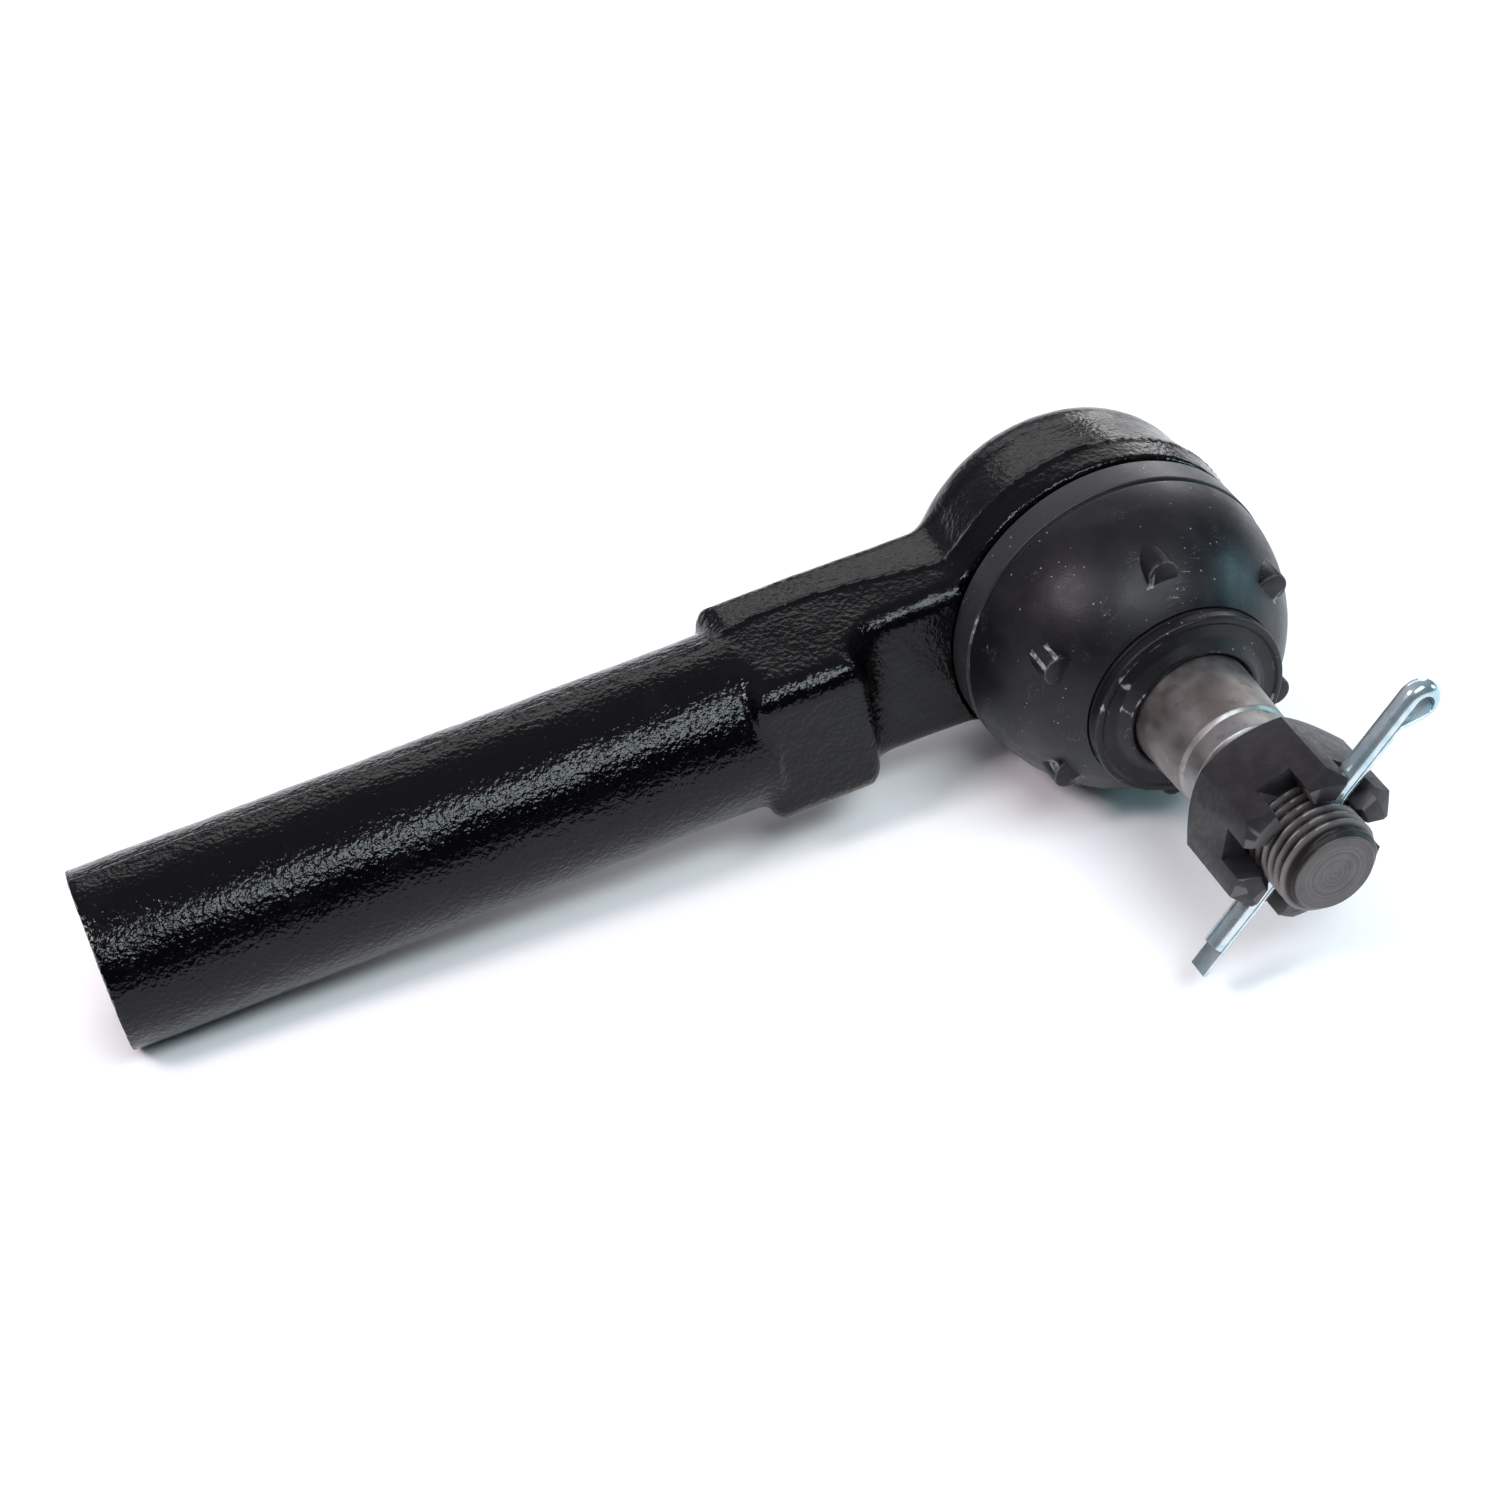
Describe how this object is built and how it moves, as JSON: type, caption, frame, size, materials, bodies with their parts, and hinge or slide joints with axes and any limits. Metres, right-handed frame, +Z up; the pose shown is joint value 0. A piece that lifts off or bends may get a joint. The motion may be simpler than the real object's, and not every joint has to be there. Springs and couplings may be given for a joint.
{
  "type": "tie rod end",
  "caption": "Outer tie rod end: forged socket with a female threaded sleeve, tapered ball stud under a dust boot, castle nut and cotter pin.",
  "frame": {"origin": "centre of the ball, where the stud swings", "axes": "+X from the sleeve's open end towards the ball, along the sleeve; -Y along the stud, out of the socket's mouth; +Z up, square to both"},
  "size_m": [0.17, 0.0942, 0.048],
  "materials": {
    "forging_paint": "gloss black paint over a forged skin",
    "bearing_resin": "moulded acetal bearing, off-white",
    "spring_steel": "dark tempered spring steel",
    "boot_rubber": "satin black moulded rubber with a little dust",
    "stud_steel": "bare turned alloy steel, brownish grey",
    "nut_steel": "dark phosphated steel, satin",
    "zinc_plate": "bright bluish zinc plating",
    "bearing_steel": "polished bearing ball"
  },
  "bodies": {
    "socket": {"housing": "forging_paint", "front_bearing": "bearing_resin", "rear_bearing": "bearing_resin", "preload_spring": "spring_steel", "cover_plate": "forging_paint", "grease_fitting": "zinc_plate", "check_spring": "spring_steel", "boot_base_ring": "spring_steel"},
    "boot": {"dust_boot": "boot_rubber"},
    "boot_neck": {"boot_neck_ring": "spring_steel"},
    "stud": {"ball_stud": "stud_steel", "castle_nut": "nut_steel"},
    "pin": {"cotter_pin": "zinc_plate"},
    "valve": {"check_ball": "bearing_steel"}
  },
  "joints": [
    {"name": "stud_swing_fore_aft", "type": "hinge", "parent": "socket", "child": "boot", "pos_m": [0, 0, 0], "axis": [0, 0, 1], "range_deg": [-18, 18], "deforming": ["dust_boot"]},
    {"name": "stud_swing_up_down", "type": "hinge", "parent": "boot", "child": "boot_neck", "pos_m": [0, 0, 0], "axis": [1, 0, 0], "range_deg": [-18, 18], "deforming": ["dust_boot"]},
    {"name": "stud_spin", "type": "hinge", "parent": "boot_neck", "child": "stud", "pos_m": [0, 0, 0], "axis": [0, -1, 0], "continuous": true},
    {"name": "cotter_pin_slide", "type": "slide", "parent": "stud", "child": "pin", "axis": [0.7009, 0, 0.7133], "range_m": [-0.0075, 0.042]},
    {"name": "check_ball_push", "type": "slide", "parent": "socket", "child": "valve", "axis": [0, -1, 0], "range_m": [0, 0.0006], "stiffness_N_per_m": 200, "springref_m": -0.0002, "deforming": ["check_spring"]}
  ]
}
